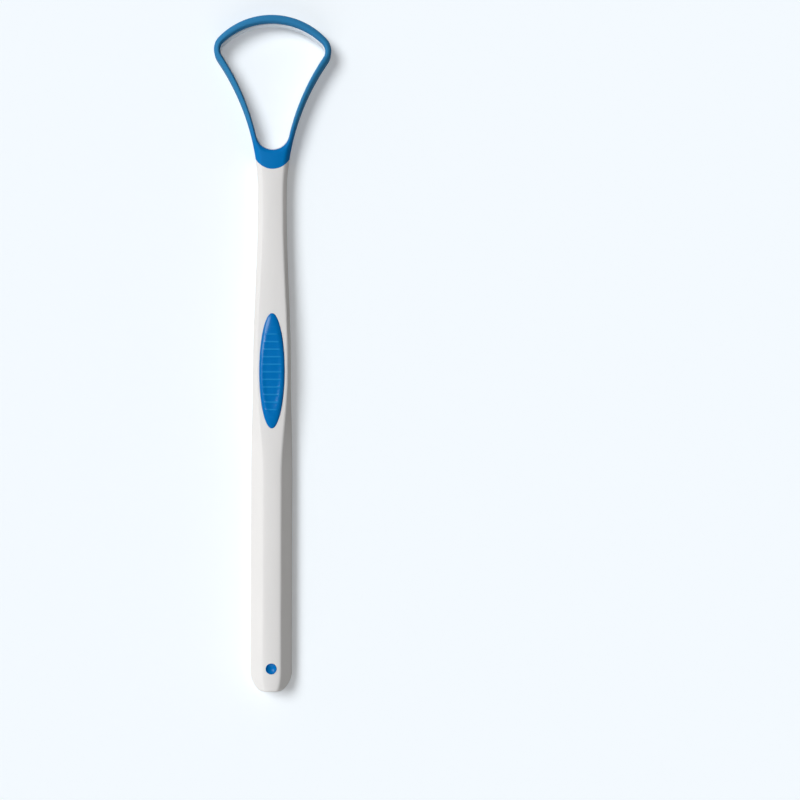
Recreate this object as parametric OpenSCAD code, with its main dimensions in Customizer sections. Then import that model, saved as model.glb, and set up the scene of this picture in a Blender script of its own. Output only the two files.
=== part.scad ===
// Tongue scraper: a rigid two-shot moulding with a looped head, a ribbed thumb pad and a tail plug.
// It lies along Y with its flat back down and its front face up, and the loop is at the +Y end.
// X = 0 is the middle plane, Y = 0 the middle of the length and Z = 0 the surface it rests on.

/* [Overall] */
// Length from the tail end to the top of the loop
total_l = 180; // [160:1:200]

/* [Loop outline] */
// Width across the two bends
loop_w = 31.2; // [28:0.1:35]
// Radius of the outer edge along the top
loop_top_r = 19.8; // [18:0.1:24]
// Radius of the outer edge at the bends
bend_r = 4.7; // [4:0.1:6]
// Radius of the inner edge at the bends
bend_inner_r = 2.8; // [2.4:0.1:3.6]
// Width of the band at the top
top_t = 2.3; // [2:0.1:2.8]
// Width of the band in the legs where they leave the bends
leg_t = 1.7; // [1.5:0.1:2]
// Width of the band in the legs where they reach the crotch
leg_low_t = 1.2; // [1:0.1:1.5]
// Distance from the top of the loop down to where the legs leave the neck
head_l = 45.5; // [42:0.5:50]

/* [Loop section] */
// Height of the loop from its lower to its upper edge
loop_h = 5.4; // [4.6:0.1:6.2]
// Height of the rounded crown on the upper edge
crown_h = 0.9; // [0.5:0.1:1]
// Height of the rounding on the lower edge
keel_h = 0.3; // [0.2:0.1:0.6]
// Soft lip between the upper crown and the rigid core
upper_lip_t = 0.2; // [0.2:0.1:0.5]
// Soft lip between the lower rounding and the rigid core
lower_lip_t = 0.2; // [0.2:0.1:0.5]
// Soft wall that covers the core on the outer side of the loop
skin_t = 0.5; // [0.3:0.1:0.7]
// How far the core's inner side bulges into the opening
core_bulge = 0.5; // [0:0.1:0.8]

/* [Collar] */
// Distance from the top of the loop down to the side corners of the collar
collar_drop = 38.8; // [37:0.1:40]
// How far the collar's lower edge bows down between its corners
collar_bow = 2.4; // [1.2:0.1:3]
// Length of the collar on the middle line, up to the crotch of the loop
collar_l = 5.3; // [4:0.1:6]
// Length over which the flat faces of the neck turn into the crown of the legs
collar_fade_l = 8; // [6:0.5:12]
// Soft wall between the core and the collar's edges
collar_wall = 1.2; // [0.9:0.1:1.4]
// Width of the tenon that joins the neck to the core
tenon_w = 5; // [3:0.1:6]
// Height of the tenon
tenon_h = 2.8; // [2:0.1:3.2]

/* [Neck] */
// Width of the neck
neck_w = 8.2; // [7.5:0.1:9]
// Width of the flat face on the neck
neck_face_w = 5.7; // [5:0.1:6.2]
// Thickness of the neck
neck_t = 5.5; // [5:0.1:6.2]
// Height of the neck's back above the resting surface
neck_lift = 0.5; // [0.2:0.1:1]
// Height of the bevels on the neck
neck_bevel_h = 1.5; // [1:0.1:1.8]

/* [Grip] */
// Width of the handle at the thumb pad
grip_w = 10.1; // [9.5:0.1:11]
// Width of the face that carries the thumb pad
grip_face_w = 8.8; // [8.2:0.1:9.2]
// Thickness of the handle at the thumb pad
grip_t = 6.8; // [6:0.1:8]
// Height of the bevels beside the thumb pad
grip_bevel_h = 2.2; // [1.4:0.1:3]
// Distance from the tail end to the middle of the thumb pad
grip_from_end = 85.2; // [80:0.5:90]

/* [Tail] */
// Width of the tail
tail_w = 11; // [10:0.1:12]
// Width of the face on the tail
tail_face_w = 4.9; // [4:0.1:6]
// Thickness of the tail
tail_t = 6.8; // [6:0.1:8]
// Height of the wide bevels on the tail
tail_bevel_h = 3.4; // [2.6:0.1:4]
// Length of the tail before its faces begin to change
tail_l = 57; // [50:0.5:62]
// Radius of the tail end's corners seen from the front
end_corner_r = 6; // [5.6:0.1:8]
// Length over which those corners draw in
end_corner_l = 5; // [4:0.1:5.4]
// How far each edge of the face draws in at the tail end
end_pinch = 0.8; // [0.4:0.1:1.2]
// Radius of the rounding along the end's own edge
end_round_r = 0.6; // [0.3:0.1:1]

/* [Handle faces] */
// Rise of the front face's middle over its edges
face_bow = 0.18; // [0:0.02:0.3]
// Softness of the edge between the front face and the bevels
edge_soft = 0.45; // [0.15:0.05:0.5]
// Width of the rounding along the back's edges
back_round_w = 1.1; // [0.6:0.1:1.5]
// Height of the rounding along the back's edges
back_round_h = 1.2; // [0.8:0.1:1.6]

/* [Thumb pad] */
// Length of the oval pad
pad_l = 30.6; // [26:0.1:34]
// Width of the oval pad
pad_w = 6.7; // [6:0.1:7.4]
// Depth of the pocket that the pad sits in
pocket_d = 1.5; // [1.1:0.1:2]
// Rise of the pad's middle over its rim
pad_rise = 0.6; // [0.3:0.1:1]
// Rise of the pad's rim over the face around it
pad_rim = 0.1; // [0.05:0.05:0.3]
// Gap between the pad and the pocket's wall
pad_gap = 0.03; // [0.02:0.01:0.1]
// Distance between the ribs across the pad
rib_pitch = 2; // [1.6:0.05:2.6]
// How far the middle of the ribs lies from the pad's middle, towards the tail
rib_shift = 0.3; // [0:0.1:1]
// Width of a rib
rib_w = 0.8; // [0.5:0.05:1]
// Height of a rib
rib_h = 0.2; // [0.1:0.02:0.4]
// Diameter of the pegs that anchor the pad
peg_d = 2.6; // [2:0.1:3.2]
// Length of the pegs below the pocket's floor
peg_l = 1.8; // [1:0.1:2.4]
// Distance between the two pegs
peg_pitch = 14; // [10:0.5:18]

/* [Tail plug] */
// Diameter of the plug where it shows
plug_d = 2.9; // [2.4:0.1:3.6]
// Depth of the plug's shank under the face
plug_l = 1.8; // [1.4:0.1:2.2]
// Diameter of the wider foot that locks the plug in
plug_foot_d = 4; // [3.8:0.1:4.6]
// Height of the plug's foot
plug_foot_h = 1; // [0.8:0.1:1.4]
// Distance from the tail end to the middle of the plug
plug_from_end = 6.2; // [5:0.1:9]
// Radius of the hollow in the plug's top
dimple_r = 1.9; // [1.9:0.1:3]
// Depth of that hollow
dimple_d = 0.55; // [0.3:0.05:0.6]

/* [Hidden] */
$fn = 96;
// What a cut runs past the surface that it goes through
overrun = 1;

// Places along the handle
head_y = total_l / 2;
end_y = -total_l / 2;
grip_y = end_y + grip_from_end;
tail_y = end_y + tail_l;
leg_y = head_y - head_l;
// The neck is narrowest just before the legs leave it
neck_straight_l = 3.5;
neck_y = leg_y - neck_straight_l;
plug_y = end_y + plug_from_end;

// Outer edge of the loop: a top arc and two bends that meet it, then legs that meet bends and neck
top_c = [0, head_y - loop_top_r];
bend_x = loop_w / 2 - bend_r;
bend_c = [bend_x, top_c[1] + sqrt(pow(loop_top_r - bend_r, 2) - pow(bend_x, 2))];
leg_reach = bend_x - neck_w / 2;
leg_rise = bend_c[1] - leg_y;
leg_r = (pow(leg_reach, 2) + pow(leg_rise, 2) - pow(bend_r, 2)) / (2 * (bend_r + leg_reach));
leg_c = [neck_w / 2 + leg_r, leg_y];

// Inner edge of the loop: a top arc, legs whose centre is raised so that they thin towards
// the neck, two bends that meet both, and a crotch that meets both legs
corner_y = head_y - collar_drop;
crotch_y = corner_y - collar_bow + collar_l;
leg_high_turn = sin(direction(bend_c - leg_c));
leg_low_turn = sin(direction([0, crotch_y] - leg_c));
leg_raise = (leg_t - leg_low_t) / (leg_high_turn - leg_low_turn);
leg_inner_r = leg_r + leg_t - leg_raise * leg_high_turn;
leg_inner_c = leg_c + [0, leg_raise];
top_inner_r = loop_top_r - top_t;
bend_inner_c = meeting(top_c, top_inner_r - bend_inner_r, leg_inner_c, leg_inner_r + bend_inner_r);
crotch_rise = crotch_y - leg_inner_c[1];
crotch_r = (pow(leg_inner_c[0], 2) + pow(crotch_rise, 2) - pow(leg_inner_r, 2))
    / (2 * (leg_inner_r - crotch_rise));
crotch_c = [0, crotch_y + crotch_r];
// Where the outer edge passes the end of the crotch's arc
flank_top_y = on_circle(leg_c, leg_r, direction(crotch_c - leg_c))[1];

// Lower edge of the collar: one arc between its side corners
corner = [half_w(corner_y), corner_y];
collar_r = (pow(corner[0], 2) + pow(collar_bow, 2)) / (2 * collar_bow);
collar_c = [0, corner_y - collar_bow + collar_r];

// Heights of the loop and of the core inside it
loop_low_z = neck_lift;
loop_top_z = neck_lift + loop_h;
core_low_z = loop_low_z + keel_h + lower_lip_t;
core_top_z = loop_top_z - crown_h - upper_lip_t;
core_mid_z = (core_low_z + core_top_z) / 2;

// Pad and plug
pocket_z = grip_t - pocket_d;
// Room under the pegs and the plug, and round them
seat_gap = 0.1;
side_gap = 0.02;
plug_top_z = tail_t + face_bow;
foot_top_z = plug_top_z - plug_l;

// Steps along each stretch of the loop's edge
collar_n = 6;
flank_n = 5;
leg_n = 12;
bend_n = 9;
top_n = 9;
// Steps across the loop's crown, its keel and the core's rounded side
crown_n = 8;
keel_n = 6;
core_n = 6;

// Moves evenly from 0 to 1 with soft ends
function ease(t) = let (s = min(max(t, 0), 1)) s * s * (3 - 2 * s);
function steps(a, b, n) = [for (i = [0:n]) a + (b - a) * i / n];
function unit(v) = v / norm(v);
function direction(v) = atan2(v[1], v[0]);
function on_circle(c, r, a) = c + r * [cos(a), sin(a)];
function arc(c, r, a, b, n) = [for (t = steps(a, b, n)) on_circle(c, r, t)];
function tail_of(list) = [for (i = [1:len(list) - 1]) list[i]];
// The lower of two heights, with the corner between them softened
function soft_min(a, b, soft) = (a + b - sqrt(pow(a - b, 2) + pow(soft, 2))) / 2;
// The upper crossing of two circles whose centres lie side by side
function meeting(c1, r1, c2, r2) =
    let (d = norm(c2 - c1), u = (c2 - c1) / d, reach = (d * d + r1 * r1 - r2 * r2) / (2 * d))
    c1 + reach * u + sqrt(r1 * r1 - reach * reach) * [-u[1], u[0]];

// A size of the handle at y, eased from the tail over the grip to the neck
function along(y, tail, grip, neck) =
    grip + (neck - grip) * ease((y - grip_y) / (neck_y - grip_y))
    + (tail - grip) * ease((grip_y - y) / (grip_y - tail_y));
// Outer edge of the head's right leg, as a distance from the middle plane
function leg_edge_x(y) = leg_c[0] - sqrt(pow(leg_r, 2) - pow(y - leg_y, 2));
// Drop of a rounded edge at a distance from it
function edge_drop(d, r) = d < r ? r - sqrt(r * r - pow(r - d, 2)) : 0;
// How much the tail end's corners and its rounded edge take off at y
function corner_fall(y) = edge_drop(y - end_y + end_corner_r - end_corner_l, end_corner_r);
function end_fall(y) = edge_drop(y - end_y, end_round_r);
// Side and face edge of the stem, as distances from the middle plane, with the end still square
function side_x(y) = y > leg_y ? leg_edge_x(y) : along(y, tail_w, grip_w, neck_w) / 2;
function face_x(y) = along(y, tail_face_w, grip_face_w, neck_face_w) / 2
    + (y > leg_y ? leg_edge_x(y) - neck_w / 2 : 0);
function half_w(y) = side_x(y) - corner_fall(y) - end_fall(y);
function half_face(y) = face_x(y) - end_pinch * pow(max(0, 1 - (y - end_y) / end_corner_l), 2);
function front_z(y) = along(y, tail_t, grip_t, neck_lift + neck_t) - end_fall(y);
function back_z(y) = along(y, 0, 0, neck_lift) + end_fall(y);
function bevel_slope(y) = along(y, tail_bevel_h, grip_bevel_h, neck_bevel_h)
    / (side_x(y) - face_x(y));
// Height of the front of the handle: a bowed face, soft edges and a bevel on each side
function skin_z(x, y) =
    let (f = half_face(y), z = front_z(y))
    soft_min(z + face_bow * (1 - pow(x / f, 2)),
             z - (abs(x) - f) * bevel_slope(y), edge_soft);
// Height of the back of the handle: flat, with rounded edges
function under_z(x, y) =
    let (t = min(max((abs(x) - half_w(y)) / back_round_w + 1, 0), 1))
    back_z(y) + back_round_h * (1 - sqrt(1 - t * t));

// Joins rows of points into a closed skin. The rows close on each other, or get a lid at each end
function skin_faces(rows, n, looped) =
    let (wraps = looped ? rows : rows - 1)
    concat(
        [for (i = [0:wraps - 1], k = [0:n - 1])
            let (j = (i + 1) % rows, m = (k + 1) % n)
            each [[i * n + k, j * n + k, i * n + m], [i * n + m, j * n + k, j * n + m]]],
        looped ? [] : [[for (k = [0:n - 1]) k], [for (k = [n - 1:-1:0]) (rows - 1) * n + k]]);
module skin(rows, looped = false) {
    polyhedron(points = [for (row = rows) each row],
               faces = skin_faces(len(rows), len(rows[0]), looped), convexity = 6);
}

// Where the handle's cross-sections are taken
end_edge_n = 4;
end_n = 7;
swell_n = 12;
taper_n = 16;
flare_n = 9;
stem_over = 0.6;
stem_y = concat(
    [for (a = steps(90, 0, end_edge_n)) end_y + end_round_r * (1 - sin(a))],
    tail_of([for (a = steps(asin((end_corner_l - end_round_r) / end_corner_r), 0, end_n))
        end_y + end_corner_l - end_corner_r * sin(a)]),
    steps(tail_y, grip_y, swell_n),
    tail_of(steps(grip_y, neck_y, taper_n)),
    tail_of(steps(neck_y, corner_y + stem_over, flare_n)));
// Points across a bevel and across half of the face, as shares of each one's width
bevel_shares = [1, 0.6, 0.3, 0.12, 0];
face_shares = [0.93, 0.8, 0.5, 0];
round_shares = [1, 0.9, 0.6, 0];

function front_xs(y) =
    let (f = half_face(y), w = half_w(y),
         right = concat([for (s = bevel_shares) f + s * (w - f)], [for (s = face_shares) s * f]))
    concat(-right, [for (i = [len(right) - 2:-1:0]) right[i]]);
function back_xs(y) = [for (s = round_shares) half_w(y) - back_round_w * (1 - s)];
function stem_row(y) = concat(
    [for (x = front_xs(y)) [x, y, skin_z(x, y)]],
    [for (x = back_xs(y)) [x, y, under_z(x, y)]],
    [for (i = [len(round_shares) - 1:-1:0]) let (x = back_xs(y)[i]) [-x, y, under_z(x, y)]]);

// Outer edge of the loop's right half, from the middle of the collar to the middle of the top
outer_half = concat(
    arc(collar_c, collar_r, -90, direction(corner - collar_c), collar_n),
    tail_of([for (y = steps(corner_y, flank_top_y, flank_n)) [half_w(y), y]]),
    tail_of(arc(leg_c, leg_r, direction(crotch_c - leg_c), direction(bend_c - leg_c), leg_n)),
    tail_of(arc(bend_c, bend_r, direction(leg_c - bend_c), direction(bend_c - top_c), bend_n)),
    tail_of(arc(top_c, loop_top_r, direction(bend_c - top_c), 90, top_n)));
inner_half = concat(
    arc(crotch_c, crotch_r, -90, direction(leg_inner_c - crotch_c), collar_n + flank_n),
    tail_of(arc(leg_inner_c, leg_inner_r, direction(crotch_c - leg_inner_c),
                direction(bend_inner_c - leg_inner_c), leg_n)),
    tail_of(arc(bend_inner_c, bend_inner_r, direction(leg_inner_c - bend_inner_c),
                direction(bend_inner_c - top_c), bend_n)),
    tail_of(arc(top_c, top_inner_r, direction(bend_inner_c - top_c), 90, top_n)));
function both_halves(half) = concat(
    half, [for (i = [len(half) - 2:-1:1]) [-half[i][0], half[i][1]]]);
outer_edge = both_halves(outer_half);
inner_edge = both_halves(inner_half);

// How far the neck's flat faces have turned into the crown of the legs at y
function fade(y) = ease((y - corner_y) / collar_fade_l);
// Outer edge of the core: a thick wall away in the collar and a thin one in the legs
core_edge = [for (i = [0:len(outer_edge) - 1])
    let (p = outer_edge[i], wall = collar_wall + (skin_t - collar_wall) * fade(p[1]))
    p + wall * unit(inner_edge[i] - p)];

// One point of the loop's upper or lower surface, at turn a from its inner edge to its outer one
function shell_point(i, a, h, upper) =
    let (p = inner_edge[i], q = outer_edge[i], xy = p + (q - p) * (1 - cos(a)) / 2,
         x = xy[0], y = xy[1], f = fade(y), drop = edge_drop(norm(xy - p), h),
         bulge = h * (1 - sin(a)), z = upper ? loop_top_z - bulge : loop_low_z + bulge)
    [x, y, f == 1 ? z : f * z + (1 - f) * (upper ? skin_z(x, y) - drop : under_z(x, y) + drop)];
function loop_row(i) =
    let (p = inner_edge[i], c = core_edge[i])
    concat(
        [[c[0], c[1], core_top_z], [p[0], p[1], core_top_z]],
        [for (a = steps(0, 180, crown_n)) shell_point(i, a, crown_h, true)],
        [for (a = steps(180, 0, keel_n)) shell_point(i, a, keel_h, false)],
        [[p[0], p[1], core_low_z], [c[0], c[1], core_low_z]]);

module tenon(gap) {
    reach = collar_wall + overrun;
    translate([-tenon_w / 2 - gap, corner_y - collar_bow - overrun, core_mid_z - tenon_h / 2 - gap])
        cube([tenon_w + 2 * gap, reach + overrun, tenon_h + 2 * gap]);
}

// One section of the core: flat towards the soft wall, rounded towards the opening
function core_row(i) =
    let (p = inner_edge[i], c = core_edge[i], way = unit(p - c), half_h = (core_top_z - core_low_z) / 2)
    concat(
        [[c[0], c[1], core_top_z], [c[0], c[1], core_low_z]],
        [for (a = steps(-90, 90, core_n))
            let (xy = p + core_bulge * cos(a) * way) [xy[0], xy[1], core_mid_z + half_h * sin(a)]]);

// The rigid ring inside the loop, down to the crotch
module core() {
    skin([for (i = [0:len(core_edge) - 1]) core_row(i)], looped = true);
}

function oval(gap, n) = [for (i = [0:n - 1])
    let (a = 360 * i / n) [(pad_w / 2 + gap) * sin(a), grip_y + (pad_l / 2 + gap) * cos(a)]];
oval_n = 64;
module peg(gap) {
    for (side = [-1, 1])
        translate([0, grip_y + side * peg_pitch / 2, pocket_z - peg_l - (gap > 0 ? seat_gap : 0)])
            cylinder(d = peg_d + 2 * gap, h = peg_l + pocket_d);
}

module plug_body(gap) {
    room = gap > 0 ? seat_gap : 0;
    translate([0, plug_y, foot_top_z - plug_foot_h - room])
        cylinder(d = plug_foot_d + 2 * gap, h = plug_foot_h + room);
    translate([0, plug_y, foot_top_z - plug_foot_h / 2])
        cylinder(d = plug_d + 2 * gap, h = plug_l + plug_foot_h / 2 + (gap > 0 ? overrun : 0));
}

// White rigid moulding: faceted stem, tenon and the ring that stiffens the loop
module handle() {
    color("whitesmoke") {
        difference() {
            skin([for (y = stem_y) stem_row(y)]);
            translate([collar_c[0], collar_c[1], -overrun])
                cylinder(r = collar_r, h = tail_t + grip_t);
            translate([0, 0, pocket_z])
                linear_extrude(height = pocket_d + overrun)
                    polygon(oval(pad_gap, oval_n));
            peg(side_gap);
            plug_body(side_gap);
        }
        tenon(0);
        core();
    }
}

// Blue soft skin over the head: collar, outer wall and both edges of the loop
module scraper_loop() {
    color("steelblue")
        difference() {
            skin([for (i = [0:len(outer_edge) - 1]) loop_row(i)], looped = true);
            tenon(side_gap);
        }
}

// Where the pad's cross-sections are taken: round its ends and over each rib
rib_field_share = 0.7;
rib_n = floor((pad_l * rib_field_share - 2 * rib_shift) / rib_pitch) + 1;
rib_shares = [-0.5, -0.2, 0.2, 0.5];
pad_end_n = 8;
pad_tip_a = 4;
pad_shoulder_a = 40;
pad_end_a = steps(pad_tip_a, pad_shoulder_a, pad_end_n);
rib_y = [for (k = [0:rib_n - 1]) (k - (rib_n - 1) / 2) * rib_pitch - rib_shift];
pad_y = concat(
    [for (a = pad_end_a) -pad_l / 2 * cos(a)],
    [for (y = rib_y, s = rib_shares) y + s * rib_w],
    [for (i = [pad_end_n:-1:0]) pad_l / 2 * cos(pad_end_a[i])]);
// Points across half of the pad, and how high a rib stands at each, as shares
across_shares = [1, 0.97, 0.9, 0.8, 0.7, 0.6, 0.4, 0.2];
across = concat(-across_shares, [0], [for (i = [len(across_shares) - 1:-1:0]) across_shares[i]]);
rib_start_share = 0.6;
rib_stop_share = 0.7;
function rib_z(y, s) =
    let (crest = max([for (c = rib_y) 1 - ease((abs(y - c) / rib_w - rib_shares[2])
                                                / (rib_shares[3] - rib_shares[2]))]),
         side = 1 - ease((abs(s) - rib_start_share) / (rib_stop_share - rib_start_share)))
    rib_h * crest * side;
function pad_row(y) =
    let (w = pad_w / 2 * sqrt(1 - pow(2 * y / pad_l, 2)))
    concat(
        [for (s = across)
            let (x = s * w, far = pow(2 * x / pad_w, 2) + pow(2 * y / pad_l, 2))
            [x, grip_y + y, skin_z(x, grip_y + y) + pad_rim + rib_z(y, s)
                + pad_rise * sqrt(max(0, 1 - far))]],
        [[w, grip_y + y, pocket_z], [-w, grip_y + y, pocket_z]]);

// Blue soft oval with its ribs, held in the handle's pocket by two pegs
module thumb_pad() {
    color("royalblue") {
        skin([for (y = pad_y) pad_row(y)]);
        peg(0);
    }
}

// Blue soft plug with a hollow top, held in the tail by its foot
module tail_plug() {
    color("steelblue")
        difference() {
            plug_body(0);
            translate([0, plug_y, plug_top_z + dimple_r - dimple_d]) sphere(r = dimple_r);
        }
}

handle();
scraper_loop();
thumb_pad();
tail_plug();
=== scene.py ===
"""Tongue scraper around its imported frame: white stem, blue loop skin, ribbed pad and tail plug.

The pieces are modelled in millimetres, in the frame's own place, and scaled to metres when done.
"""
import math

import bmesh
import bpy
from mathutils import Matrix, Vector


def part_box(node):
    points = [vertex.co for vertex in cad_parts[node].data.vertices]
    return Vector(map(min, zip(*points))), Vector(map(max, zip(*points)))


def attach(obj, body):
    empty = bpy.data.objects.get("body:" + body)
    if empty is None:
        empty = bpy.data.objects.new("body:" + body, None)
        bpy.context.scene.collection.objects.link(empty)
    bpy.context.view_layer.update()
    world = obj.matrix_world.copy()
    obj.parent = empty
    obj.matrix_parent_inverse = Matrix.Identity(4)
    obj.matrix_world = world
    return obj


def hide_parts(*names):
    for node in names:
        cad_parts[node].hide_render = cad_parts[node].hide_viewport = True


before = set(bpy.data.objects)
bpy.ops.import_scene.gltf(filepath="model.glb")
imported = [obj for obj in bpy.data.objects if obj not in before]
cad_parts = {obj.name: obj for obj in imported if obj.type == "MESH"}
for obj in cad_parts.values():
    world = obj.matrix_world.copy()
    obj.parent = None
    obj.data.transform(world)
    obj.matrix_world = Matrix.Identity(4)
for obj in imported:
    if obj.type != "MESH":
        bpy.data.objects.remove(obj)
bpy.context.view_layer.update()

MM = 0.001
# Two places this near to each other count as one
CLOSE = 1e-3


def node_box(name):
    """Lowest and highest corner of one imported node, in millimetres."""
    return [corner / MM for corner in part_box(name)]


# What the frame gives: ends, loop, pad and plug
END_Y = node_box("handle")[0].y
LOOP_LOW, LOOP_HIGH = node_box("scraper_loop")
PAD_LOW, PAD_HIGH = node_box("thumb_pad")
PLUG_LOW, PLUG_HIGH = node_box("tail_plug")
HEAD_Y = LOOP_HIGH.y

# Loop outline: the circles of its edges, and how thick the band is
LOOP_W = LOOP_HIGH.x - LOOP_LOW.x
LOOP_TOP_R = 19.8
BEND_R = 4.7
BEND_INNER_R = 2.8
TOP_T = 2.3
TOP_DRAW = 1.5
LEG_T = 1.6
LEG_LOW_T = 1.2
HEAD_L = 47.5

# Loop section: the crown's peak lies at this share of the way from the inner to the outer edge
LOOP_H = 5.4
CROWN_H = 1.3
CROWN_PEAK = 0.34
KEEL_H = 0.3
UPPER_LIP_T = 0.2
LOWER_LIP_T = 0.2
SKIN_T = 0.5
CORE_BULGE = 0.5
CORE_LEAST_SHARE = 0.25

# Collar between the neck and the loop
COLLAR_DROP = 38.4
COLLAR_BOW = 2.8
COLLAR_L = 5.3
COLLAR_FADE_L = 8.0
COLLAR_WALL = 1.2
TENON_W = 5.0
TENON_H = 2.8

# Stem: neck, grip and tail
NECK_W = 7.65
NECK_FACE_W = 5.5
NECK_T = 5.5
NECK_LIFT = LOOP_LOW.z
NECK_BEVEL_H = 1.3
NECK_STRAIGHT_L = 3.5
GRIP_W = 10.1
GRIP_FACE_W = 8.5
GRIP_T = 6.8
GRIP_BEVEL_H = 2.2
TAIL_W = 11.0
TAIL_FACE_W = 4.9
TAIL_T = 6.8
TAIL_BEVEL_H = 3.4
TAIL_L = 57.0
END_CORNER_R = 6.0
END_CORNER_L = 5.0
END_PINCH = 0.8
END_ROUND_R = 0.6
FACE_BOW = 0.18
EDGE_SOFT = 0.2
BACK_ROUND_W = 1.1
BACK_ROUND_H = 1.2

# Thumb pad: its dish, its ribs and the pegs that hold it
PAD_L = PAD_HIGH.y - PAD_LOW.y
PAD_W = PAD_HIGH.x - PAD_LOW.x
POCKET_D = 1.5
PAD_RIM = 0.62
PAD_RIM_R = 1.1
DISH_D = 0.15
DISH_LOWER = 1.0
DISH_SHARE = 0.8
DISH_WALL = 1.5
RIB_PITCH = 2.0
RIB_SHIFT = 0.3
RIB_W = 0.65
RIB_H = 0.08
RIB_FLAT_SHARE = 0.12
RIB_FALL_SHARE = 0.42
PEG_D = 2.6
PEG_PITCH = 14.0

# Tail plug
PLUG_D = 2.9
PLUG_FOOT_H = 1.0
DIMPLE_R = 1.9
DIMPLE_D = 0.55
PLUG_RIM_R = 0.12

# Clearance around what sits in a hole, and how far a cut runs past the surface
FIT_GAP = 0.03
OVERRUN = 1.0

# Places that follow
GRIP_Y = (PAD_LOW.y + PAD_HIGH.y) / 2
TAIL_Y = END_Y + TAIL_L
LEG_Y = HEAD_Y - HEAD_L
NECK_Y = LEG_Y - NECK_STRAIGHT_L
CORNER_Y = HEAD_Y - COLLAR_DROP
CROTCH_Y = CORNER_Y - COLLAR_BOW + COLLAR_L
PLUG_Y = (PLUG_LOW.y + PLUG_HIGH.y) / 2
LOOP_TOP_Z = NECK_LIFT + LOOP_H
CORE_LOW_Z = NECK_LIFT + KEEL_H + LOWER_LIP_T
CORE_TOP_Z = LOOP_TOP_Z - CROWN_H - UPPER_LIP_T
POCKET_Z = GRIP_T - POCKET_D
PEG_PLACES = [GRIP_Y - PEG_PITCH / 2, GRIP_Y + PEG_PITCH / 2]


def ease(t):
    """Goes from 0 to 1 with soft ends."""
    t = min(max(t, 0), 1)
    return t * t * (3 - 2 * t)


def spread(a, b, n):
    """The n + 1 values that divide a to b in n equal steps."""
    return [a + (b - a) * i / n for i in range(n + 1)]


def soft_min(a, b, soft):
    """The lower of two heights, with the corner between them softened."""
    return (a + b - math.hypot(a - b, soft)) / 2


def edge_drop(d, r):
    """How far a rounded edge of radius r lies below its corner, at a distance d from it."""
    return r - math.sqrt(r * r - (r - d) ** 2) if d < r else 0


def turn(v):
    """Direction of a vector in the plan view."""
    return math.atan2(v.y, v.x)


def on_circle(c, r, a):
    """Point of a circle at an angle."""
    return c + r * Vector((math.cos(a), math.sin(a)))


def arc(c, r, a, b, n):
    """Points along an arc."""
    return [on_circle(c, r, t) for t in spread(a, b, n)]


def meeting(c1, r1, c2, r2):
    """The upper crossing of two circles whose centres lie side by side."""
    d = (c2 - c1).length
    u = (c2 - c1) / d
    reach = (d * d + r1 * r1 - r2 * r2) / (2 * d)
    return c1 + reach * u + math.sqrt(r1 * r1 - reach * reach) * Vector((-u.y, u.x))


# Circles of the loop's outer edge
TOP_C = Vector((0, HEAD_Y - LOOP_TOP_R))
BEND_X = LOOP_W / 2 - BEND_R
BEND_C = Vector((BEND_X, TOP_C.y + math.sqrt((LOOP_TOP_R - BEND_R) ** 2 - BEND_X ** 2)))
LEG_REACH = BEND_X - NECK_W / 2
LEG_RISE = BEND_C.y - LEG_Y
LEG_R = (LEG_REACH ** 2 + LEG_RISE ** 2 - BEND_R ** 2) / (2 * (BEND_R + LEG_REACH))
LEG_C = Vector((NECK_W / 2 + LEG_R, LEG_Y))

# Circles of its inner edge
LEG_HIGH_TURN = math.sin(turn(BEND_C - LEG_C))
LEG_LOW_TURN = math.sin(turn(Vector((0, CROTCH_Y)) - LEG_C))
LEG_RAISE = (LEG_T - LEG_LOW_T) / (LEG_HIGH_TURN - LEG_LOW_TURN)
LEG_INNER_R = LEG_R + LEG_T - LEG_RAISE * LEG_HIGH_TURN
LEG_INNER_C = LEG_C + Vector((0, LEG_RAISE))
TOP_INNER_R = LOOP_TOP_R - TOP_T + TOP_DRAW
TOP_INNER_C = TOP_C - Vector((0, TOP_DRAW))
BEND_INNER_C = meeting(TOP_INNER_C, TOP_INNER_R - BEND_INNER_R,
                       LEG_INNER_C, LEG_INNER_R + BEND_INNER_R)
CROTCH_RISE = CROTCH_Y - LEG_INNER_C.y
CROTCH_R = ((LEG_INNER_C.x ** 2 + CROTCH_RISE ** 2 - LEG_INNER_R ** 2)
            / (2 * (LEG_INNER_R - CROTCH_RISE)))
CROTCH_C = Vector((0, CROTCH_Y + CROTCH_R))


def along(y, tail, grip, neck):
    """A size of the stem at y, eased from the tail over the grip to the neck."""
    return (grip + (neck - grip) * ease((y - GRIP_Y) / (NECK_Y - GRIP_Y))
            + (tail - grip) * ease((GRIP_Y - y) / (GRIP_Y - TAIL_Y)))


def leg_edge_x(y):
    """Outer edge of the right leg, as a distance from the middle plane."""
    return LEG_C.x - math.sqrt(LEG_R ** 2 - (y - LEG_Y) ** 2)


def side_x(y):
    """Side of the stem, with the tail end still square."""
    return leg_edge_x(y) if y > LEG_Y else along(y, TAIL_W, GRIP_W, NECK_W) / 2


def face_x(y):
    """Edge of the stem's front face, with the tail end still square."""
    flare = leg_edge_x(y) - NECK_W / 2 if y > LEG_Y else 0
    return along(y, TAIL_FACE_W, GRIP_FACE_W, NECK_FACE_W) / 2 + flare


def half_w(y):
    """Side of the stem, with the tail end's corners."""
    return side_x(y) - edge_drop(y - END_Y + END_CORNER_R - END_CORNER_L, END_CORNER_R)


def half_face(y):
    """Edge of the front face, which draws in at the tail end."""
    return face_x(y) - END_PINCH * max(0, 1 - (y - END_Y) / END_CORNER_L) ** 2


def front_z(y):
    """Height of the front face's edges."""
    return along(y, TAIL_T, GRIP_T, NECK_LIFT + NECK_T)


def back_z(y):
    """Height of the flat back."""
    return along(y, 0, 0, NECK_LIFT)


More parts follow.
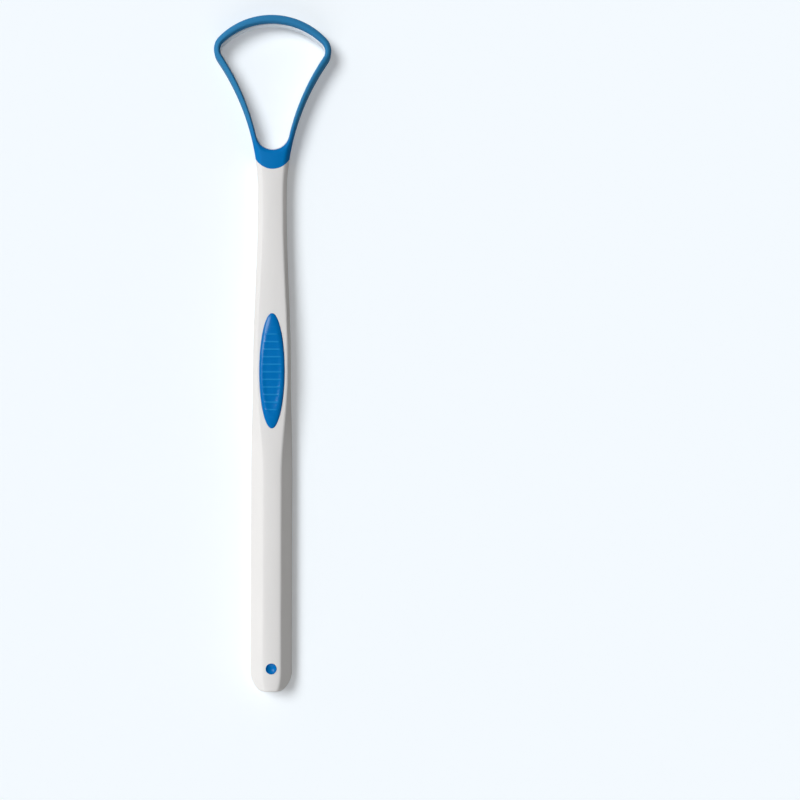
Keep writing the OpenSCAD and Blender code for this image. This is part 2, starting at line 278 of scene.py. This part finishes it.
def bevel_slope(y):
    """Fall of the bevels beside the front face, per unit across."""
    return along(y, TAIL_BEVEL_H, GRIP_BEVEL_H, NECK_BEVEL_H) / (side_x(y) - face_x(y))


def bevel_z(x, y):
    """Height of the bevel planes at a distance x from the middle."""
    return front_z(y) - (x - half_face(y)) * bevel_slope(y)


def skin_z(x, y):
    """Height of the stem's front, with its bowed face and soft edges."""
    bowed = front_z(y) + FACE_BOW * (1 - (x / half_face(y)) ** 2)
    return soft_min(bowed, bevel_z(abs(x), y), EDGE_SOFT)


def under_z(x, y):
    """Height of the stem's back, with its rounded edges."""
    t = min(max((abs(x) - half_w(y)) / BACK_ROUND_W + 1, 0), 1)
    return back_z(y) + BACK_ROUND_H * (1 - math.sqrt(1 - t * t))


def start(name):
    """Takes up the primitive just added: puts its place into its mesh and opens it to edit."""
    piece = bpy.context.object
    piece.name = name
    piece.data.name = name
    bpy.ops.object.transform_apply(location=True, rotation=True, scale=True)
    bpy.ops.object.mode_set(mode="EDIT")
    bpy.ops.mesh.select_all(action="DESELECT")
    return piece


def done():
    """Ends the work on the mesh."""
    bpy.ops.object.mode_set(mode="OBJECT")


def edited():
    """The mesh that is open to edit."""
    return bmesh.from_edit_mesh(bpy.context.edit_object.data)


def pick(test):
    """Selects the vertices whose place passes a test, with the edges and faces between them."""
    bpy.ops.mesh.select_all(action="DESELECT")
    mesh = edited()
    for vert in mesh.verts:
        vert.select = test(vert.co)
    mesh.select_flush(True)


def cut_across(places, normal):
    """Cuts the open mesh through by planes at these places along a normal."""
    for place in places:
        bpy.ops.mesh.select_all(action="SELECT")
        bpy.ops.mesh.bisect(plane_co=Vector(normal) * place, plane_no=normal)


def soften(test, width, segments):
    """Rounds the edges between the vertices that pass a test."""
    pick(test)
    bpy.ops.mesh.bevel(offset=width, segments=segments, affect="EDGES")


def modify(piece, kind, **settings):
    """Adds a modifier to a piece and applies it."""
    bpy.ops.object.select_all(action="DESELECT")
    bpy.context.view_layer.objects.active = piece
    piece.select_set(True)
    modifier = piece.modifiers.new(kind.title(), kind)
    for key, value in settings.items():
        setattr(modifier, key, value)
    bpy.ops.object.modifier_apply(modifier=modifier.name)


def combine(piece, other, operation):
    """Cuts the other shape out of the piece, or fuses it on, and deletes the other shape."""
    modify(piece, "BOOLEAN", operation=operation, solver="EXACT", object=other)
    bpy.data.objects.remove(other)


def loft(name, sections):
    """A closed skin: a ring takes the first section, is extruded on to each next, and joins up."""
    bpy.ops.mesh.primitive_circle_add(vertices=len(sections[0]), fill_type="NOTHING")
    piece = start(name)
    bpy.ops.mesh.select_all(action="SELECT")
    for number, section in enumerate(sections):
        if number:
            bpy.ops.mesh.extrude_region_move()
        ring = [vert for vert in edited().verts if vert.select]
        for vert, point in zip(ring, section):
            vert.co = point
    mesh = edited()
    mesh.verts.ensure_lookup_table()
    for vert in mesh.verts[:len(sections[0])]:
        vert.select = True
    mesh.select_flush(True)
    bpy.ops.mesh.bridge_edge_loops()
    bpy.ops.mesh.select_all(action="SELECT")
    bpy.ops.mesh.normals_make_consistent(inside=False)
    done()
    return piece


class Flow:
    """A value in a material: sums and products of it add their Math nodes."""

    def __init__(self, finish, socket):
        self.finish = finish
        self.socket = socket

    def math(self, operation, *values):
        sockets = dict(enumerate(values))
        return self.finish.node("ShaderNodeMath", {"operation": operation}, sockets)

    def __add__(self, other):
        return self.math("ADD", self, other)

    __radd__ = __add__

    def __mul__(self, other):
        return self.math("MULTIPLY", self, other)

    __rmul__ = __mul__


# Sockets of the Mix node: its two colours, and the colour that comes out
MIX_LOW, MIX_HIGH, MIX_RESULT = 6, 7, 2


class Finish:
    """The nodes of one material, or of the world."""

    def __init__(self, owner):
        self.owner = owner
        owner.use_nodes = True
        self.tree = owner.node_tree
        self.tree.nodes.clear()

    def node(self, kind, settings, sockets, output=0):
        """Adds a node: its settings first, then the values or links of its sockets."""
        node = self.tree.nodes.new(kind)
        for key, value in settings.items():
            setattr(node, key, value)
        for key, value in sockets.items():
            if isinstance(value, Flow):
                self.tree.links.new(value.socket, node.inputs[key])
            else:
                node.inputs[key].default_value = value
        return Flow(self, node.outputs[output])

    def place(self):
        """Place on the piece, in metres."""
        return self.node("ShaderNodeTexCoord", {}, {}, "Object")

    def noise(self, grain, detail, stretch=(1, 1, 1)):
        """Noise whose patches are about one grain across, drawn out by a stretch."""
        scale = [1 / (grain * MM * s) for s in stretch]
        spot = self.node("ShaderNodeMapping", {}, {"Vector": self.place(), "Scale": scale})
        sockets = {"Vector": spot, "Scale": 1.0, "Detail": detail}
        return self.node("ShaderNodeTexNoise", {}, sockets)

    def ramp(self, value, low, high):
        """Goes softly from 0 to 1 as a value goes from one end to the other."""
        return self.node("ShaderNodeMapRange", {"interpolation_type": "SMOOTHSTEP"}, {
            "Value": value, "From Min": low, "From Max": high})

    def blend(self, share, low, high):
        """A colour between two, by a share."""
        sockets = {"Factor": share, MIX_LOW: low, MIX_HIGH: high}
        return self.node("ShaderNodeMix", {"data_type": "RGBA"}, sockets, MIX_RESULT)

    def bump(self, height, strength, depth):
        """Makes light fall as on a relief this deep, in millimetres."""
        return self.node("ShaderNodeBump", {}, {
            "Height": height, "Strength": strength, "Distance": depth * MM})

    def surface(self, shader, end="ShaderNodeOutputMaterial"):
        """Ends the material, or the world, with its surface."""
        output = self.tree.nodes.new(end)
        self.tree.links.new(shader.socket, output.inputs["Surface"])
        return self.owner


# White plastic: its colours in the stem and, painted lighter and bluer as light, in the thin core,
# and how its pattern shows
STEM_SHADE = (0.775, 0.768, 0.762, 1)
STEM_WHITE = (0.815, 0.806, 0.8, 1)
CORE_PAINTED_LIGHT = (0.85, 0.92, 1.0, 1)
PLASTIC_ROUGHNESS = 0.36
PLASTIC_ROUGH_SPREAD = 0.06
PLASTIC_GLOSS = 0.2
PLASTIC_BUMP = 0.06
PLASTIC_BUMP_D = 0.05
WAVE_SHARE = 0.65

# Blue rubber: a darker, a lighter and a paler blue for the skin and for the pad, and their finish
# The paler blue is painted light: painted sheen on the loop past the collar, painted highlight on
# the pad's rib crests
SKIN_BLUES = ((0.0, 0.163, 0.468, 1), (0.001, 0.187, 0.52, 1), (0.03, 0.21, 0.44, 1))
PAD_BLUES = ((0.0, 0.155, 0.475, 1), (0.001, 0.18, 0.53, 1), (0.012, 0.25, 0.6, 1))
SKIN_ROUGHNESS = 0.46
SKIN_GLOSS = 0.05
PAD_ROUGHNESS = 0.17
PAD_GLOSS = 0.17
RUBBER_ROUGH_SPREAD = 0.1
RUBBER_BUMP = 0.12
RUBBER_BUMP_D = 0.06
CLOUD_SHARE = 0.6

# Where the painted light lies: between two distances from the crotch, and inside a share of the
# pad
PAINTED_LIGHT_FROM = -1.0
PAINTED_LIGHT_TO = 10.0
CREST_FULL_SHARE = 0.65
CREST_STOP_SHARE = 0.85

# Floor and backdrop, as they light the object and as the camera sees them
FLOOR_PAPER = (0.79, 0.785, 0.76, 1)
FLOOR_SEEN = (0.7, 0.755, 0.8, 1)
FLOOR_GLOW_TINT = (0.97, 0.985, 1, 1)
FLOOR_GLOW = 0.29
BACKDROP_SEEN = (0.955, 0.96, 0.97, 1)


def painted_light_band(finish):
    """The loop past the collar, where light is painted: a paler skin as painted sheen and a
    lighter, bluer core as painted light.
    """
    along_y = finish.node("ShaderNodeSeparateXYZ", {}, {"Vector": finish.place()}, "Y")
    return finish.ramp(along_y, (CROTCH_Y + PAINTED_LIGHT_FROM) * MM, (CROTCH_Y + PAINTED_LIGHT_TO) * MM)


def white_plastic():
    """Rigid white moulding: a satin gloss over a fine grain, with faint flow along the stem, and
    painted light on the core in the loop.
    """
    finish = Finish(bpy.data.materials.new("white_plastic"))
    flow = finish.noise(grain=2.5, detail=3.0, stretch=(1, 6, 1))
    grain = finish.noise(grain=0.09, detail=2.0)
    wave = finish.noise(grain=1.6, detail=1.0, stretch=(1, 3, 1))
    moulded = finish.blend(flow, STEM_SHADE, STEM_WHITE)
    height = grain * (1 - WAVE_SHARE) + wave * WAVE_SHARE
    bump = finish.bump(height, PLASTIC_BUMP, PLASTIC_BUMP_D)
    return finish.surface(finish.node("ShaderNodeBsdfPrincipled", {}, {
        "Base Color": finish.blend(painted_light_band(finish), moulded, CORE_PAINTED_LIGHT),
        "Roughness": PLASTIC_ROUGHNESS + (flow + grain) * PLASTIC_ROUGH_SPREAD,
        "Specular IOR Level": PLASTIC_GLOSS,
        "Normal": bump}))


def painted_rib_highlights(finish):
    """Painted highlight: the lines along the pad's rib crests, painted paler as if light catches
    them.
    """
    to_middle = (0, (RIB_SHIFT - GRIP_Y) * MM, 0)
    to_unit = (2 / (PAD_W * MM), 2 / (PAD_L * MM), 0)
    place = finish.node("ShaderNodeVectorMath", {"operation": "ADD"},
                        {0: finish.place(), 1: to_middle})
    unit = finish.node("ShaderNodeVectorMath", {"operation": "MULTIPLY"}, {0: place, 1: to_unit})
    out = finish.node("ShaderNodeVectorMath", {"operation": "LENGTH"}, {0: unit}, "Value")
    along_y = finish.node("ShaderNodeSeparateXYZ", {}, {"Vector": place}, "Y")
    near = finish.node("ShaderNodeMath", {"operation": "PINGPONG"},
                       {0: along_y, 1: RIB_PITCH / 2 * MM})
    on_rib = finish.ramp(near, RIB_W / 2 * MM, 0.0)
    return on_rib * finish.ramp(out, CREST_STOP_SHARE, CREST_FULL_SHARE)


def blue_rubber(name, blues, where, roughness, gloss):
    """Soft blue moulding: a fine grain over two clouded blues, and a paler blue in one place,
    painted there as light.
    """
    low, high, paler = blues
    finish = Finish(bpy.data.materials.new(name))
    cloud = finish.noise(grain=3.0, detail=2.0)
    grain = finish.noise(grain=0.12, detail=3.0)
    clouded = finish.blend(cloud * CLOUD_SHARE + grain * (1 - CLOUD_SHARE), low, high)
    bump = finish.bump(grain, RUBBER_BUMP, RUBBER_BUMP_D)
    return finish.surface(finish.node("ShaderNodeBsdfPrincipled", {}, {
        "Base Color": finish.blend(where(finish), clouded, paler),
        "Roughness": roughness + grain * RUBBER_ROUGH_SPREAD,
        "Specular IOR Level": gloss,
        "Normal": bump}))


def pale_floor():
    """White paper floor, which the camera sees a little brighter than it is."""
    finish = Finish(bpy.data.materials.new("pale_floor"))
    seen = finish.node("ShaderNodeLightPath", {}, {}, "Is Camera Ray")
    colour = finish.blend(seen, FLOOR_PAPER, FLOOR_SEEN)
    paper = finish.node("ShaderNodeBsdfDiffuse", {}, {"Color": colour})
    glow = finish.node("ShaderNodeEmission", {}, {
        "Color": FLOOR_GLOW_TINT, "Strength": seen * FLOOR_GLOW})
    return finish.surface(finish.node("ShaderNodeAddShader", {}, {0: paper, 1: glow}))


def studio_world():
    """Dim light from all round, with a pale backdrop that only the camera sees."""
    finish = Finish(bpy.data.worlds.new("studio"))
    seen = finish.node("ShaderNodeLightPath", {}, {}, "Is Camera Ray")
    light = finish.node("ShaderNodeBackground", {}, {
        "Color": (1, 1, 1, 1), "Strength": WORLD_LIGHT})
    backdrop = finish.node("ShaderNodeBackground", {}, {"Color": BACKDROP_SEEN})
    mixed = finish.node("ShaderNodeMixShader", {}, {0: seen, 1: light, 2: backdrop})
    return finish.surface(mixed, "ShaderNodeOutputWorld")


def finish_piece(piece, node, material, angle):
    """Scales a modelled piece to metres, smooths it and hands it over in place of its node."""
    piece.data.transform(Matrix.Scale(MM, 4))
    bpy.ops.object.select_all(action="DESELECT")
    bpy.context.view_layer.objects.active = piece
    piece.select_set(True)
    bpy.ops.object.shade_smooth_by_angle(angle=math.radians(angle))
    modify(piece, "WEIGHTED_NORMAL", keep_sharp=True)
    piece.data.materials.clear()
    piece.data.materials.append(material)
    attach(piece, "root")
    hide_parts(node)


# Where the stem is cut across before it is shaped, in even steps along each stretch
CUT_SPARE_L = 0.6
CLEAR_SHARE = 1.2
CORNER_STEPS = 8
TAIL_STEPS = 6
GRIP_STEPS = 14
NECK_STEPS = 20
COLLAR_STEPS = 10
CUT_Y = CORNER_Y + CUT_SPARE_L
FIRST_CUT = CLEAR_SHARE * END_ROUND_R
CORNER_TURN = math.asin((END_CORNER_L - FIRST_CUT) / END_CORNER_R)
STATIONS = ([END_Y + END_CORNER_L - END_CORNER_R * math.sin(a)
             for a in spread(CORNER_TURN, 0, CORNER_STEPS)]
            + spread(END_Y + END_CORNER_L, TAIL_Y, TAIL_STEPS)[1:]
            + spread(TAIL_Y, GRIP_Y, GRIP_STEPS)[1:]
            + spread(GRIP_Y, NECK_Y, NECK_STEPS)[1:]
            + spread(NECK_Y, CUT_Y, COLLAR_STEPS)[1:-1])

# How wide the stem's edges are rounded, in how many steps, and how far the back keeps clear
FACE_SOFT = 0.42
SIDE_SOFT = 0.3
SOFT_STEPS = 3
BACK_STEPS = 5
END_STEPS = 4
BACK_CLEAR_W = CLEAR_SHARE * BACK_ROUND_W


def drawn_in(co):
    """Where a point of the cut block lies on the finished stem."""
    w, f = half_w(co.y), half_face(co.y)
    share = abs(co.x) / (TAIL_FACE_W / 2)
    on_face = share < 1 + CLOSE
    on_back = co.z < TAIL_T / 2
    inner = min(f, w - BACK_CLEAR_W) if on_back else f
    x = share * inner if on_face else w
    if on_back:
        z = back_z(co.y)
    else:
        z = front_z(co.y) + FACE_BOW * (1 - share ** 2) if on_face else bevel_z(w, co.y)
    return math.copysign(x, co.x), co.y, z


def on_back_edge(co):
    """Along the back's side edges."""
    return abs(abs(co.x) - half_w(co.y)) < CLOSE and abs(co.z - back_z(co.y)) < CLOSE


def on_face_edge(co):
    """Along the front face's edges."""
    return abs(abs(co.x) - half_face(co.y)) < CLOSE and abs(co.z - front_z(co.y)) < CLOSE


def on_side_edge(co):
    """Where the bevels meet the sides."""
    w = half_w(co.y)
    return abs(abs(co.x) - w) < CLOSE and abs(co.z - bevel_z(w, co.y)) < CLOSE


def at_tail_end(co):
    """On the end face of the tail."""
    return co.y < END_Y + CLOSE


def stem():
    """White stem: a block cut across at its stations, drawn in there, with softened edges."""
    length = CUT_Y - END_Y
    bpy.ops.mesh.primitive_cube_add(
        size=1, location=(0, END_Y + length / 2, TAIL_T / 2), scale=(TAIL_W, length, TAIL_T))
    piece = start("handle_moulding")
    cut_across(STATIONS, (0, 1, 0))
    cut_across([share * TAIL_FACE_W / 2 for share in (-1, -0.5, 0, 0.5, 1)], (1, 0, 0))
    for vert in edited().verts:
        vert.co = drawn_in(vert.co)
    pick(at_tail_end)
    bpy.ops.mesh.dissolve_faces()
    soften(on_back_edge, BACK_ROUND_W, BACK_STEPS)
    soften(on_face_edge, FACE_SOFT, SOFT_STEPS)
    soften(on_side_edge, SIDE_SOFT, SOFT_STEPS)
    soften(at_tail_end, END_ROUND_R, END_STEPS)
    done()
    return piece


# Lower edge of the collar: one arc between its side corners
CORNER = Vector((half_w(CORNER_Y), CORNER_Y))
COLLAR_R = (CORNER.x ** 2 + COLLAR_BOW ** 2) / (2 * COLLAR_BOW)
COLLAR_C = Vector((0, CORNER_Y - COLLAR_BOW + COLLAR_R))
FLANK_TOP_Y = on_circle(LEG_C, LEG_R, turn(CROTCH_C - LEG_C)).y

# Steps along each stretch of the loop's edge, and across its crown and keel
COLLAR_N = 12
FLANK_N = 10
LEG_N = 26
BEND_N = 20
TOP_N = 20
CROWN_N = 16
KEEL_N = 8
CORE_N = 12

OUTER_HALF = (arc(COLLAR_C, COLLAR_R, -math.pi / 2, turn(CORNER - COLLAR_C), COLLAR_N)
              + [Vector((half_w(y), y)) for y in spread(CORNER_Y, FLANK_TOP_Y, FLANK_N)][1:]
              + arc(LEG_C, LEG_R, turn(CROTCH_C - LEG_C), turn(BEND_C - LEG_C), LEG_N)[1:]
              + arc(BEND_C, BEND_R, turn(LEG_C - BEND_C), turn(BEND_C - TOP_C), BEND_N)[1:]
              + arc(TOP_C, LOOP_TOP_R, turn(BEND_C - TOP_C), math.pi / 2, TOP_N)[1:])
INNER_HALF = (arc(CROTCH_C, CROTCH_R, -math.pi / 2, turn(LEG_INNER_C - CROTCH_C),
                  COLLAR_N + FLANK_N)
              + arc(LEG_INNER_C, LEG_INNER_R, turn(CROTCH_C - LEG_INNER_C),
                    turn(BEND_INNER_C - LEG_INNER_C), LEG_N)[1:]
              + arc(BEND_INNER_C, BEND_INNER_R, turn(LEG_INNER_C - BEND_INNER_C),
                    turn(BEND_INNER_C - TOP_INNER_C), BEND_N)[1:]
              + arc(TOP_INNER_C, TOP_INNER_R, turn(BEND_INNER_C - TOP_INNER_C), math.pi / 2,
                    TOP_N)[1:])


def both_halves(half):
    """The whole edge, from its right half."""
    return half + [Vector((-p.x, p.y)) for p in half[-2:0:-1]]


OUTER_EDGE = both_halves(OUTER_HALF)
INNER_EDGE = both_halves(INNER_HALF)


def fade(y):
    """How far the neck's flat faces have turned into the crown of the legs."""
    return ease((y - CORNER_Y) / COLLAR_FADE_L)


def core_point(i):
    """Outer edge of the core: a thick wall away in the collar and a thin one in the legs."""
    outer, inner = OUTER_EDGE[i], INNER_EDGE[i]
    wall = COLLAR_WALL + (SKIN_T - COLLAR_WALL) * fade(outer.y)
    return outer + wall * (inner - outer).normalized()


def shell_point(i, a, height, upper):
    """Point of the loop's upper or lower surface, at turn a from its inner to its outer edge.

    The crown peaks near the inner edge. Towards the neck it turns into the stem's own faces.
    """
    inner, outer = INNER_EDGE[i], OUTER_EDGE[i]
    peak = CROWN_PEAK if upper else 0.5
    xy = inner + (outer - inner) * (peak - math.cos(a) * (peak if a < math.pi / 2 else 1 - peak))
    share = fade(xy.y)
    fall = height * (1 - math.sin(a))
    z = LOOP_TOP_Z - fall if upper else NECK_LIFT + fall
    if share < 1:
        drop = edge_drop((xy - inner).length, height)
        neck = skin_z(xy.x, xy.y) - drop if upper else under_z(xy.x, xy.y) + drop
        z = share * z + (1 - share) * neck
    return xy.x, xy.y, z


def skin_section(i):
    """Section of the skin, open to the inside where the core shows."""
    core, inner = core_point(i), INNER_EDGE[i]
    return ([(core.x, core.y, CORE_TOP_Z), (inner.x, inner.y, CORE_TOP_Z)]
            + [shell_point(i, a, CROWN_H, True) for a in spread(0, math.pi, CROWN_N)]
            + [shell_point(i, a, KEEL_H, False) for a in spread(math.pi, 0, KEEL_N)]
            + [(inner.x, inner.y, CORE_LOW_Z), (core.x, core.y, CORE_LOW_Z)])


def core_section(i):
    """Section of the rigid core: flat towards the skin's wall, rounded towards the opening."""
    core, inner = core_point(i), INNER_EDGE[i]
    way = (inner - core).normalized()
    bulge = CORE_BULGE * max(abs(way.y), CORE_LEAST_SHARE)
    middle, half_h = (CORE_TOP_Z + CORE_LOW_Z) / 2, (CORE_TOP_Z - CORE_LOW_Z) / 2
    side = [(*(inner + bulge * math.cos(a) * way), middle + half_h * math.sin(a))
            for a in spread(-math.pi / 2, math.pi / 2, CORE_N)]
    return [(core.x, core.y, CORE_TOP_Z), (core.x, core.y, CORE_LOW_Z)] + side


def tenon(gap):
    """The bar that joins the neck to the core, through the collar's wall."""
    low_y = CORNER_Y - COLLAR_BOW - OVERRUN
    length = COLLAR_WALL + 2 * OVERRUN
    bpy.ops.mesh.primitive_cube_add(
        size=1, location=(0, low_y + length / 2, (CORE_LOW_Z + CORE_TOP_Z) / 2),
        scale=(TENON_W + 2 * gap, length, TENON_H + 2 * gap))
    piece = start("tenon")
    done()
    return piece


def loop_skin():
    """Blue skin over the head."""
    piece = loft("loop_skin", [skin_section(i) for i in range(len(OUTER_EDGE))])
    combine(piece, tenon(FIT_GAP), "DIFFERENCE")
    return piece


# Sides of a round bar and of a turned shape, and steps along the plug's rim and bowl
BAR_SIDES = 128
TURNED_SIDES = 96
RIM_STEPS = 4
BOWL_STEPS = 12


def bar(name, radius_x, radius_y, y, low, high):
    """A round or oval bar that stands between two heights."""
    bpy.ops.mesh.primitive_cylinder_add(
        vertices=BAR_SIDES, radius=1, depth=1, location=(0, y, (low + high) / 2),
        scale=(radius_x, radius_y, high - low))
    piece = start(name)
    done()
    return piece


def revolve(name, profile, y):
    """A turned shape: its profile is drawn point by point from the axis and spun round it."""
    radius, height = profile[0]
    bpy.ops.mesh.primitive_plane_add(size=1, location=(radius, y, height))
    piece = start(name)
    bpy.ops.mesh.select_all(action="SELECT")
    bpy.ops.mesh.merge(type="CENTER")
    for here, there in zip(profile, profile[1:]):
        step = (there[0] - here[0], 0, there[1] - here[1])
        bpy.ops.mesh.extrude_region_move(TRANSFORM_OT_translate={"value": step})
    bpy.ops.mesh.select_all(action="SELECT")
    bpy.ops.mesh.spin(steps=TURNED_SIDES, angle=math.tau, center=(0, y, 0), axis=(0, 0, 1))
    bpy.ops.mesh.select_all(action="SELECT")
    bpy.ops.mesh.remove_doubles(threshold=CLOSE)
    bpy.ops.mesh.normals_make_consistent(inside=False)
    done()
    return piece


def plug_profile(gap):
    """Profile of the plug up to its rim: a wide foot, and a shank that shows on the face."""
    foot_r, shank_r = (PLUG_HIGH.x - PLUG_LOW.x) / 2 + gap, PLUG_D / 2 + gap
    foot_z = PLUG_LOW.z + PLUG_FOOT_H
    return [(0, PLUG_LOW.z - gap), (foot_r, PLUG_LOW.z - gap), (foot_r, foot_z), (shank_r, foot_z)]


def tail_plug():
    """Blue plug in the tail, with a rounded rim and a hollow top."""
    bowl_r = PLUG_D / 2 - PLUG_RIM_R
    bowl_z = PLUG_HIGH.z - DIMPLE_D + DIMPLE_R
    rim = [(bowl_r + PLUG_RIM_R * math.cos(a), PLUG_HIGH.z - PLUG_RIM_R * (1 - math.sin(a)))
           for a in spread(0, math.pi / 2, RIM_STEPS)]
    widest = math.asin(min(bowl_r / DIMPLE_R, math.sqrt(1 - (1 - DIMPLE_D / DIMPLE_R) ** 2)))
    bowl = [(DIMPLE_R * math.sin(a), bowl_z - DIMPLE_R * math.cos(a))
            for a in spread(widest, 0, BOWL_STEPS)]
    return revolve("plug_moulding", plug_profile(0) + rim + bowl, PLUG_Y)


def handle():
    """The whole white moulding: stem, pocket, plug hole, tenon and the ring inside the loop."""
    above = TAIL_T + OVERRUN
    piece = stem()
    collar_cut = bar("collar_cut", COLLAR_R, COLLAR_R, COLLAR_C.y, -OVERRUN, above)
    combine(piece, collar_cut, "DIFFERENCE")
    pocket = bar("pocket", PAD_W / 2 + FIT_GAP, PAD_L / 2 + FIT_GAP, GRIP_Y, POCKET_Z,
                 GRIP_T + OVERRUN)
    combine(piece, pocket, "DIFFERENCE")
    for y in PEG_PLACES:
        peg_hole = bar("peg_hole", PEG_D / 2 + FIT_GAP, PEG_D / 2 + FIT_GAP, y,
                       PAD_LOW.z - FIT_GAP, POCKET_Z + OVERRUN)
        combine(piece, peg_hole, "DIFFERENCE")
    hole_profile = plug_profile(FIT_GAP) + [(PLUG_D / 2 + FIT_GAP, above), (0, above)]
    combine(piece, revolve("plug_hole", hole_profile, PLUG_Y), "DIFFERENCE")
    core = loft("core", [core_section(i) for i in range(len(OUTER_EDGE))])
    combine(core, tenon(0), "UNION")
    combine(piece, core, "UNION")
    return piece


# Pad: rows along it and columns across it, and where a rib starts and ends across half of it
PAD_ROWS = 360
PAD_COLUMNS = 28
RIB_FIELD_SHARE = 0.7
RIB_N = math.floor((PAD_L * RIB_FIELD_SHARE - 2 * RIB_SHIFT) / RIB_PITCH) + 1
RIB_START_SHARE = 0.6
RIB_STOP_SHARE = 0.75
RIB_PLACES = [(k - (RIB_N - 1) / 2) * RIB_PITCH - RIB_SHIFT for k in range(RIB_N)]


def rib_z(y, share):
    """Height of the ribs at y from the pad's middle, and at a share of the way to its edge."""
    near = min(abs(y - place) for place in RIB_PLACES)
    crest = 1 - ease((near / RIB_W - RIB_FLAT_SHARE) / RIB_FALL_SHARE)
    side = 1 - ease((abs(share) - RIB_START_SHARE) / (RIB_STOP_SHARE - RIB_START_SHARE))
    return RIB_H * crest * side


def pad_point(column, row):
    """Point of the pad's top, for a column and a row from -1 to 1."""
    along_a, across_a = row * math.pi / 2, column * math.pi / 2
    y, w = PAD_L / 2 * math.sin(along_a), PAD_W / 2 * math.cos(along_a)
    share = math.sin(across_a)
    x = w * share
    out = math.sqrt(max(0, 1 - (math.cos(along_a) * math.cos(across_a)) ** 2))
    inside = min(1, (1 - out) * PAD_W / 2 / PAD_RIM_R)
    rim = PAD_RIM * math.sqrt(1 - (1 - inside) ** 2)
    depth = DISH_D * (1 - DISH_LOWER * math.sin(along_a))
    dish = depth * ease(DISH_WALL * (1 - (out / DISH_SHARE) ** 2))
    return x, GRIP_Y + y, skin_z(x, GRIP_Y + y) + rim - dish + rib_z(y, share)


def thumb_pad():
    """Blue oval pad: a grid drawn to the oval and its ribs, with a wall down into the pocket."""
    bpy.ops.mesh.primitive_grid_add(x_subdivisions=PAD_COLUMNS, y_subdivisions=PAD_ROWS, size=2)
    piece = start("pad_moulding")
    for vert in edited().verts:
        vert.co = pad_point(vert.co.x, vert.co.y)
    bpy.ops.mesh.select_all(action="SELECT")
    bpy.ops.mesh.remove_doubles(threshold=CLOSE)
    bpy.ops.mesh.select_all(action="DESELECT")
    bpy.ops.mesh.select_non_manifold()
    bpy.ops.mesh.extrude_region_move()
    bpy.ops.transform.resize(value=(1, 1, 0), center_override=(0, 0, POCKET_Z))
    bpy.ops.mesh.edge_face_add()
    bpy.ops.mesh.select_all(action="SELECT")
    bpy.ops.mesh.normals_make_consistent(inside=False)
    done()
    for y in PEG_PLACES:
        peg = bar("peg", PEG_D / 2, PEG_D / 2, y, PAD_LOW.z, POCKET_Z + OVERRUN / 2)
        combine(piece, peg, "UNION")
    return piece


# Camera: the photograph looks straight down on the object, which lies left of the picture's middle
CAMERA_X = 0.0041
CAMERA_Y = -0.01254
CAMERA_H = 0.45
PICTURE_MIDDLE_X = 0.0345
CAMERA_ROLL = 0.0024
LENS = 75.05
# Lamps: where each one stands, how brightly it lights what faces it, and its width in degrees
LAMPS = {
    "key": ((-0.6, 0.33, 1.0), 0.87, 30.0),
    "side": ((-0.7, 0.5, 0.4), 0.11, 70.0),
    "front": ((-0.15, -0.9, 0.35), 0.28, 60.0),
}
WORLD_LIGHT = 0.02
FLOOR_SIZE = 40.0
# Angles between faces, in degrees, past which an edge stays sharp
PLASTIC_SHARP = 35
RUBBER_SHARP = 40


def stage_floor():
    """The floor that the object lies on."""
    bpy.ops.mesh.primitive_plane_add(size=FLOOR_SIZE)
    floor = bpy.context.object
    floor.name = "floor"
    floor.data.materials.append(pale_floor())


def lamps():
    """Soft lamps far away, each turned towards the object."""
    for name, (way, light, width) in LAMPS.items():
        turned = Vector(way).to_track_quat("Z", "Y").to_euler()
        bpy.ops.object.light_add(type="SUN", location=Vector(way), rotation=turned)
        bpy.context.object.name = name
        lamp = bpy.context.object.data
        lamp.energy = light * math.pi
        lamp.angle = math.radians(width)


def camera():
    """The camera over the object, turned towards the picture's middle."""
    tilt = -math.atan2(PICTURE_MIDDLE_X - CAMERA_X, CAMERA_H)
    bpy.ops.object.camera_add(
        location=(CAMERA_X, CAMERA_Y, CAMERA_H), rotation=(0, tilt, CAMERA_ROLL))
    bpy.context.object.data.lens = LENS
    bpy.context.scene.camera = bpy.context.object


bpy.context.scene.view_settings.view_transform = "Standard"
bpy.context.scene.world = studio_world()
bpy.ops.object.select_all(action="DESELECT")
stage_floor()
lamps()
camera()
skin_blue = blue_rubber("blue_skin", SKIN_BLUES, painted_light_band, SKIN_ROUGHNESS, SKIN_GLOSS)
pad_blue = blue_rubber("blue_pad", PAD_BLUES, painted_rib_highlights, PAD_ROUGHNESS, PAD_GLOSS)
finish_piece(handle(), "handle", white_plastic(), PLASTIC_SHARP)
finish_piece(loop_skin(), "scraper_loop", skin_blue, RUBBER_SHARP)
finish_piece(thumb_pad(), "thumb_pad", pad_blue, RUBBER_SHARP)
finish_piece(tail_plug(), "tail_plug", pad_blue, RUBBER_SHARP)
